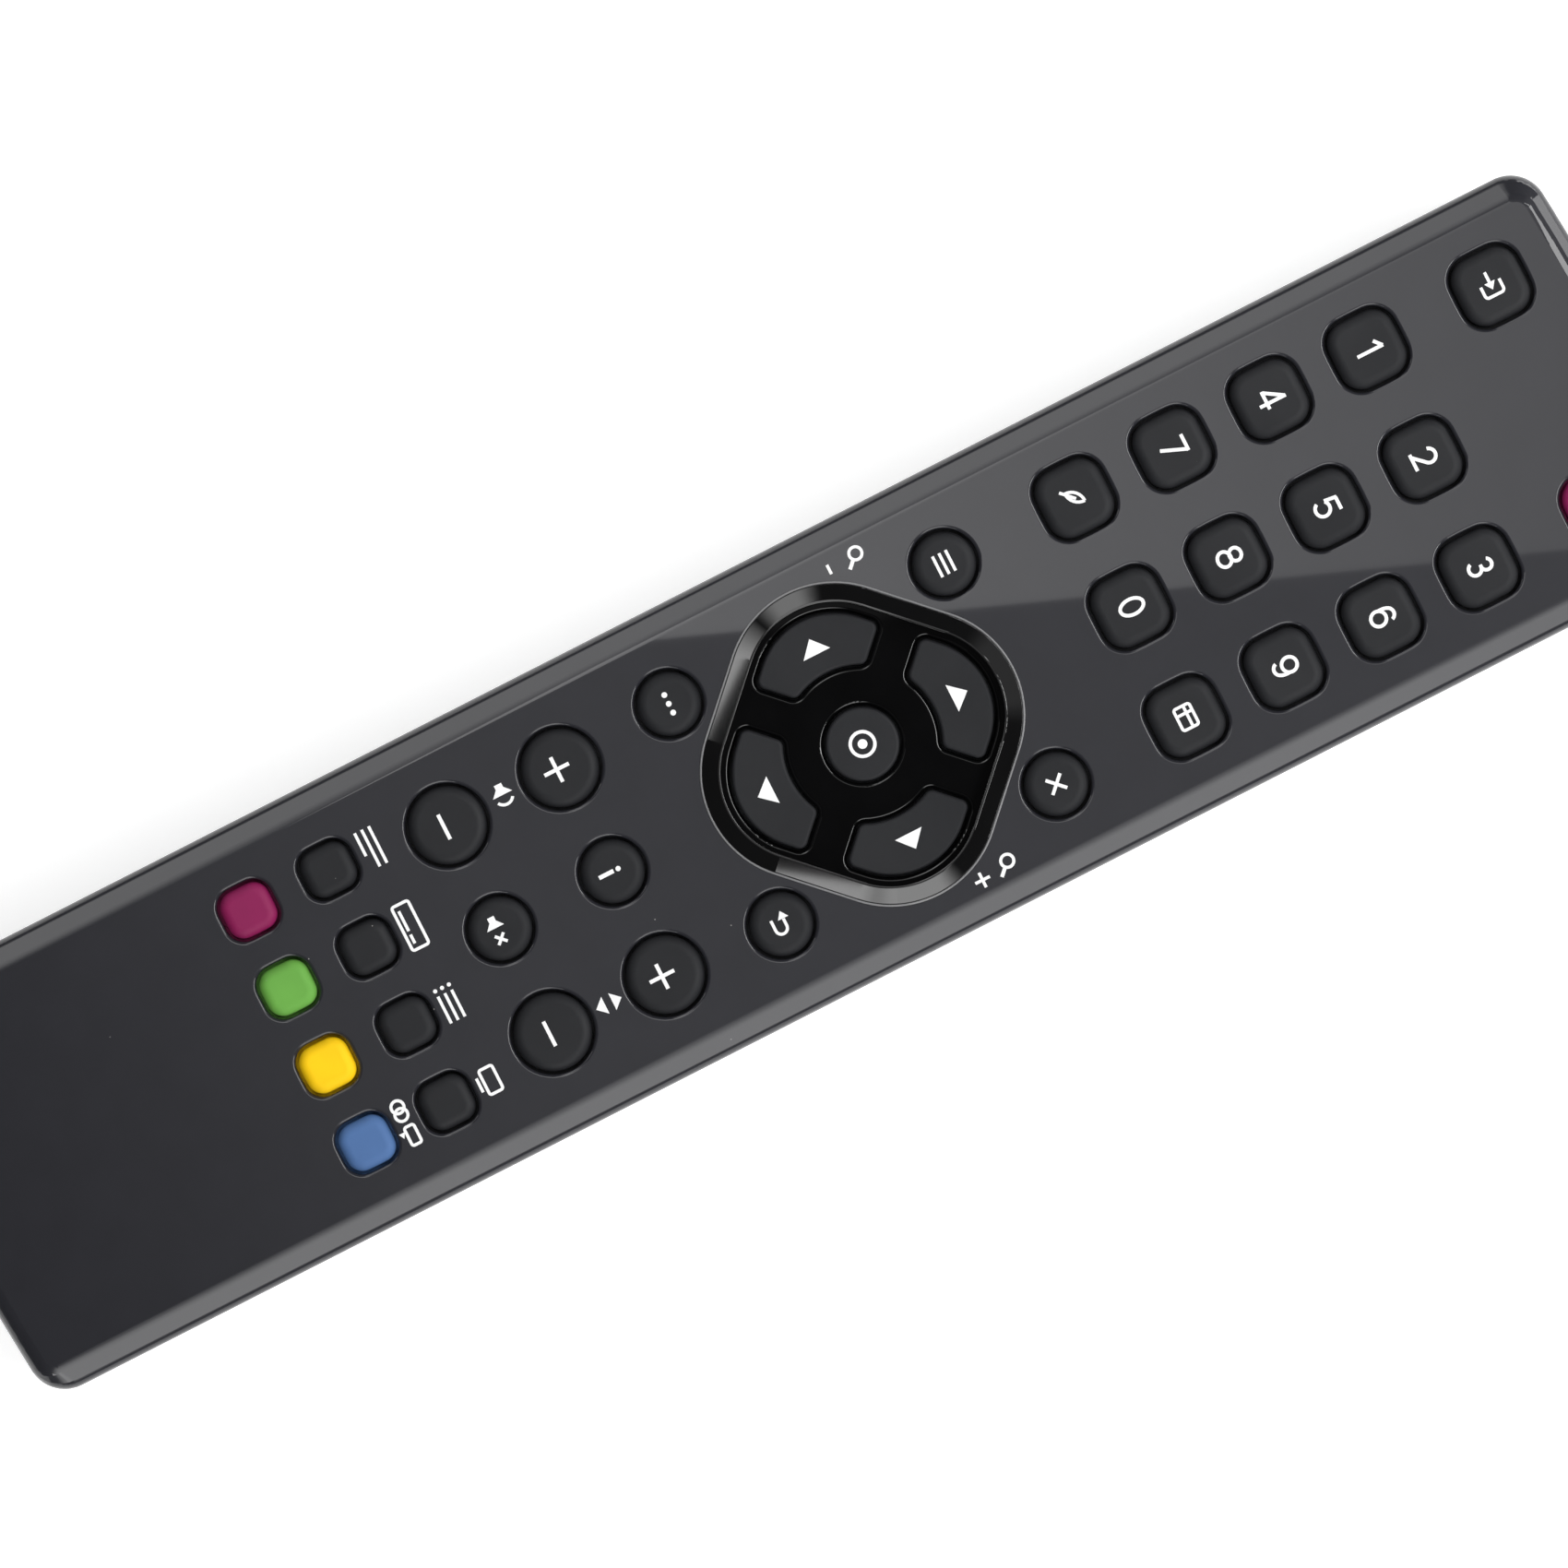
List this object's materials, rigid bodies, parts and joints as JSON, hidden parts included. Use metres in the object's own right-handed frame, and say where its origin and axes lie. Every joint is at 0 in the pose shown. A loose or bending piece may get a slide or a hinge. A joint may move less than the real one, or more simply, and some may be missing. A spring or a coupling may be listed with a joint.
{
  "type": "infrared remote control",
  "caption": "Slim handheld infrared remote control with number keys, a diamond navigation ring, volume, channel and colour keys, and a sliding battery cover.",
  "frame": {"origin": "on the plane that the flat back rests on, under the middle of the casing", "axes": "+Y along the casing towards the infrared window, +X to the right seen from the front, +Z out of the front face"},
  "size_m": [0.051, 0.223, 0.0223],
  "materials": {
    "casing": "fine moulded grain, satin",
    "bezel_black": "polished",
    "window_dark": "polished, deep red-black",
    "key_rubber": "matte",
    "key_magenta": "matte",
    "key_green": "matte",
    "key_yellow": "matte",
    "key_blue": "matte",
    "mat_silicone": "matte",
    "board": "paper laminate",
    "chip_black": "moulded epoxy",
    "resonator_blue": "dipped",
    "capacitor_sleeve": "shrink sleeve",
    "led_lens": "clear dark blue",
    "cell_wrap": "printed wrap, plain",
    "contact_steel": "nickel plated",
    "screw_steel": "zinc plated",
    "print_white": "screen printed ink",
    "copper_track": "bare copper"
  },
  "bodies": {
    "root": {"battery_left": "cell_wrap", "battery_right": "cell_wrap", "bridge_contact": "contact_steel", "capacitor": "capacitor_sleeve", "case_screws": "screw_steel", "circuit_board": "board", "controller_chip": "chip_black", "ir_led": "led_lens", "ir_window": "window_dark", "keymat": "mat_silicone", "led_transistor": "chip_black", "lower_casing": "casing", "nav_bezel": "bezel_black", "negative_contact": "contact_steel", "positive_contact": "contact_steel", "resonator": "resonator_blue", "upper_casing": "casing"},
    "cover": {"battery_cover": "casing"},
    "key_0_cap": {"key_0": "key_rubber"},
    "key_1_cap": {"key_1": "key_rubber"},
    "key_2_cap": {"key_2": "key_rubber"},
    "key_3_cap": {"key_3": "key_rubber"},
    "key_4_cap": {"key_4": "key_rubber"},
    "key_5_cap": {"key_5": "key_rubber"},
    "key_6_cap": {"key_6": "key_rubber"},
    "key_7_cap": {"key_7": "key_rubber"},
    "key_8_cap": {"key_8": "key_rubber"},
    "key_9_cap": {"key_9": "key_rubber"},
    "key_blue_cap": {"key_blue": "key_blue"},
    "key_channel_down_cap": {"key_channel_down": "key_rubber"},
    "key_channel_up_cap": {"key_channel_up": "key_rubber"},
    "key_down_cap": {"key_down": "key_rubber"},
    "key_eco_cap": {"key_eco": "key_rubber"},
    "key_exit_cap": {"key_exit": "key_rubber"},
    "key_green_cap": {"key_green": "key_green"},
    "key_guide_cap": {"key_guide": "key_rubber"},
    "key_info_cap": {"key_info": "key_rubber"},
    "key_left_cap": {"key_left": "key_rubber"},
    "key_list_cap": {"key_list": "key_rubber"},
    "key_magenta_cap": {"key_magenta": "key_magenta"},
    "key_menu_cap": {"key_menu": "key_rubber"},
    "key_mute_cap": {"key_mute": "key_rubber"},
    "key_ok_cap": {"key_ok": "key_rubber"},
    "key_option_cap": {"key_option": "key_rubber"},
    "key_power_cap": {"key_power": "key_magenta"},
    "key_return_cap": {"key_return": "key_rubber"},
    "key_right_cap": {"key_right": "key_rubber"},
    "key_source_cap": {"key_source": "key_rubber"},
    "key_subtitle_cap": {"key_subtitle": "key_rubber"},
    "key_text_cap": {"key_text": "key_rubber"},
    "key_tv_cap": {"key_tv": "key_rubber"},
    "key_up_cap": {"key_up": "key_rubber"},
    "key_volume_down_cap": {"key_volume_down": "key_rubber"},
    "key_volume_up_cap": {"key_volume_up": "key_rubber"},
    "key_yellow_cap": {"key_yellow": "key_yellow"}
  },
  "joints": [
    {"name": "cover_slide", "type": "slide", "parent": "root", "child": "cover", "axis": [0, -1, 0], "range_m": [0, 0.07]},
    {"name": "key_0_press", "type": "slide", "parent": "root", "child": "key_0_cap", "axis": [0, 0, -1], "range_m": [0, 0.0008], "stiffness_N_per_m": 1200, "springref_m": -0.0003},
    {"name": "key_1_press", "type": "slide", "parent": "root", "child": "key_1_cap", "axis": [0, 0, -1], "range_m": [0, 0.0008], "stiffness_N_per_m": 1200, "springref_m": -0.0003},
    {"name": "key_2_press", "type": "slide", "parent": "root", "child": "key_2_cap", "axis": [0, 0, -1], "range_m": [0, 0.0008], "stiffness_N_per_m": 1200, "springref_m": -0.0003},
    {"name": "key_3_press", "type": "slide", "parent": "root", "child": "key_3_cap", "axis": [0, 0, -1], "range_m": [0, 0.0008], "stiffness_N_per_m": 1200, "springref_m": -0.0003},
    {"name": "key_4_press", "type": "slide", "parent": "root", "child": "key_4_cap", "axis": [0, 0, -1], "range_m": [0, 0.0008], "stiffness_N_per_m": 1200, "springref_m": -0.0003},
    {"name": "key_5_press", "type": "slide", "parent": "root", "child": "key_5_cap", "axis": [0, 0, -1], "range_m": [0, 0.0008], "stiffness_N_per_m": 1200, "springref_m": -0.0003},
    {"name": "key_6_press", "type": "slide", "parent": "root", "child": "key_6_cap", "axis": [0, 0, -1], "range_m": [0, 0.0008], "stiffness_N_per_m": 1200, "springref_m": -0.0003},
    {"name": "key_7_press", "type": "slide", "parent": "root", "child": "key_7_cap", "axis": [0, 0, -1], "range_m": [0, 0.0008], "stiffness_N_per_m": 1200, "springref_m": -0.0003},
    {"name": "key_8_press", "type": "slide", "parent": "root", "child": "key_8_cap", "axis": [0, 0, -1], "range_m": [0, 0.0008], "stiffness_N_per_m": 1200, "springref_m": -0.0003},
    {"name": "key_9_press", "type": "slide", "parent": "root", "child": "key_9_cap", "axis": [0, 0, -1], "range_m": [0, 0.0008], "stiffness_N_per_m": 1200, "springref_m": -0.0003},
    {"name": "key_blue_press", "type": "slide", "parent": "root", "child": "key_blue_cap", "axis": [0, 0, -1], "range_m": [0, 0.0008], "stiffness_N_per_m": 1200, "springref_m": -0.0003},
    {"name": "key_channel_down_press", "type": "slide", "parent": "root", "child": "key_channel_down_cap", "axis": [0, 0, -1], "range_m": [0, 0.0008], "stiffness_N_per_m": 1200, "springref_m": -0.0003},
    {"name": "key_channel_up_press", "type": "slide", "parent": "root", "child": "key_channel_up_cap", "axis": [0, 0, -1], "range_m": [0, 0.0008], "stiffness_N_per_m": 1200, "springref_m": -0.0003},
    {"name": "key_down_press", "type": "slide", "parent": "root", "child": "key_down_cap", "axis": [0, 0, -1], "range_m": [0, 0.0008], "stiffness_N_per_m": 1200, "springref_m": -0.0003},
    {"name": "key_eco_press", "type": "slide", "parent": "root", "child": "key_eco_cap", "axis": [0, 0, -1], "range_m": [0, 0.0008], "stiffness_N_per_m": 1200, "springref_m": -0.0003},
    {"name": "key_exit_press", "type": "slide", "parent": "root", "child": "key_exit_cap", "axis": [0, 0, -1], "range_m": [0, 0.0008], "stiffness_N_per_m": 1200, "springref_m": -0.0003},
    {"name": "key_green_press", "type": "slide", "parent": "root", "child": "key_green_cap", "axis": [0, 0, -1], "range_m": [0, 0.0008], "stiffness_N_per_m": 1200, "springref_m": -0.0003},
    {"name": "key_guide_press", "type": "slide", "parent": "root", "child": "key_guide_cap", "axis": [0, 0, -1], "range_m": [0, 0.0008], "stiffness_N_per_m": 1200, "springref_m": -0.0003},
    {"name": "key_info_press", "type": "slide", "parent": "root", "child": "key_info_cap", "axis": [0, 0, -1], "range_m": [0, 0.0008], "stiffness_N_per_m": 1200, "springref_m": -0.0003},
    {"name": "key_left_press", "type": "slide", "parent": "root", "child": "key_left_cap", "axis": [0, 0, -1], "range_m": [0, 0.0008], "stiffness_N_per_m": 1200, "springref_m": -0.0003},
    {"name": "key_list_press", "type": "slide", "parent": "root", "child": "key_list_cap", "axis": [0, 0, -1], "range_m": [0, 0.0008], "stiffness_N_per_m": 1200, "springref_m": -0.0003},
    {"name": "key_magenta_press", "type": "slide", "parent": "root", "child": "key_magenta_cap", "axis": [0, 0, -1], "range_m": [0, 0.0008], "stiffness_N_per_m": 1200, "springref_m": -0.0003},
    {"name": "key_menu_press", "type": "slide", "parent": "root", "child": "key_menu_cap", "axis": [0, 0, -1], "range_m": [0, 0.0008], "stiffness_N_per_m": 1200, "springref_m": -0.0003},
    {"name": "key_mute_press", "type": "slide", "parent": "root", "child": "key_mute_cap", "axis": [0, 0, -1], "range_m": [0, 0.0008], "stiffness_N_per_m": 1200, "springref_m": -0.0003},
    {"name": "key_ok_press", "type": "slide", "parent": "root", "child": "key_ok_cap", "axis": [0, 0, -1], "range_m": [0, 0.0008], "stiffness_N_per_m": 1200, "springref_m": -0.0003},
    {"name": "key_option_press", "type": "slide", "parent": "root", "child": "key_option_cap", "axis": [0, 0, -1], "range_m": [0, 0.0008], "stiffness_N_per_m": 1200, "springref_m": -0.0003},
    {"name": "key_power_press", "type": "slide", "parent": "root", "child": "key_power_cap", "axis": [0, 0, -1], "range_m": [0, 0.0008], "stiffness_N_per_m": 1200, "springref_m": -0.0003},
    {"name": "key_return_press", "type": "slide", "parent": "root", "child": "key_return_cap", "axis": [0, 0, -1], "range_m": [0, 0.0008], "stiffness_N_per_m": 1200, "springref_m": -0.0003},
    {"name": "key_right_press", "type": "slide", "parent": "root", "child": "key_right_cap", "axis": [0, 0, -1], "range_m": [0, 0.0008], "stiffness_N_per_m": 1200, "springref_m": -0.0003},
    {"name": "key_source_press", "type": "slide", "parent": "root", "child": "key_source_cap", "axis": [0, 0, -1], "range_m": [0, 0.0008], "stiffness_N_per_m": 1200, "springref_m": -0.0003},
    {"name": "key_subtitle_press", "type": "slide", "parent": "root", "child": "key_subtitle_cap", "axis": [0, 0, -1], "range_m": [0, 0.0008], "stiffness_N_per_m": 1200, "springref_m": -0.0003},
    {"name": "key_text_press", "type": "slide", "parent": "root", "child": "key_text_cap", "axis": [0, 0, -1], "range_m": [0, 0.0008], "stiffness_N_per_m": 1200, "springref_m": -0.0003},
    {"name": "key_tv_press", "type": "slide", "parent": "root", "child": "key_tv_cap", "axis": [0, 0, -1], "range_m": [0, 0.0008], "stiffness_N_per_m": 1200, "springref_m": -0.0003},
    {"name": "key_up_press", "type": "slide", "parent": "root", "child": "key_up_cap", "axis": [0, 0, -1], "range_m": [0, 0.0008], "stiffness_N_per_m": 1200, "springref_m": -0.0003},
    {"name": "key_volume_down_press", "type": "slide", "parent": "root", "child": "key_volume_down_cap", "axis": [0, 0, -1], "range_m": [0, 0.0008], "stiffness_N_per_m": 1200, "springref_m": -0.0003},
    {"name": "key_volume_up_press", "type": "slide", "parent": "root", "child": "key_volume_up_cap", "axis": [0, 0, -1], "range_m": [0, 0.0008], "stiffness_N_per_m": 1200, "springref_m": -0.0003},
    {"name": "key_yellow_press", "type": "slide", "parent": "root", "child": "key_yellow_cap", "axis": [0, 0, -1], "range_m": [0, 0.0008], "stiffness_N_per_m": 1200, "springref_m": -0.0003}
  ]
}
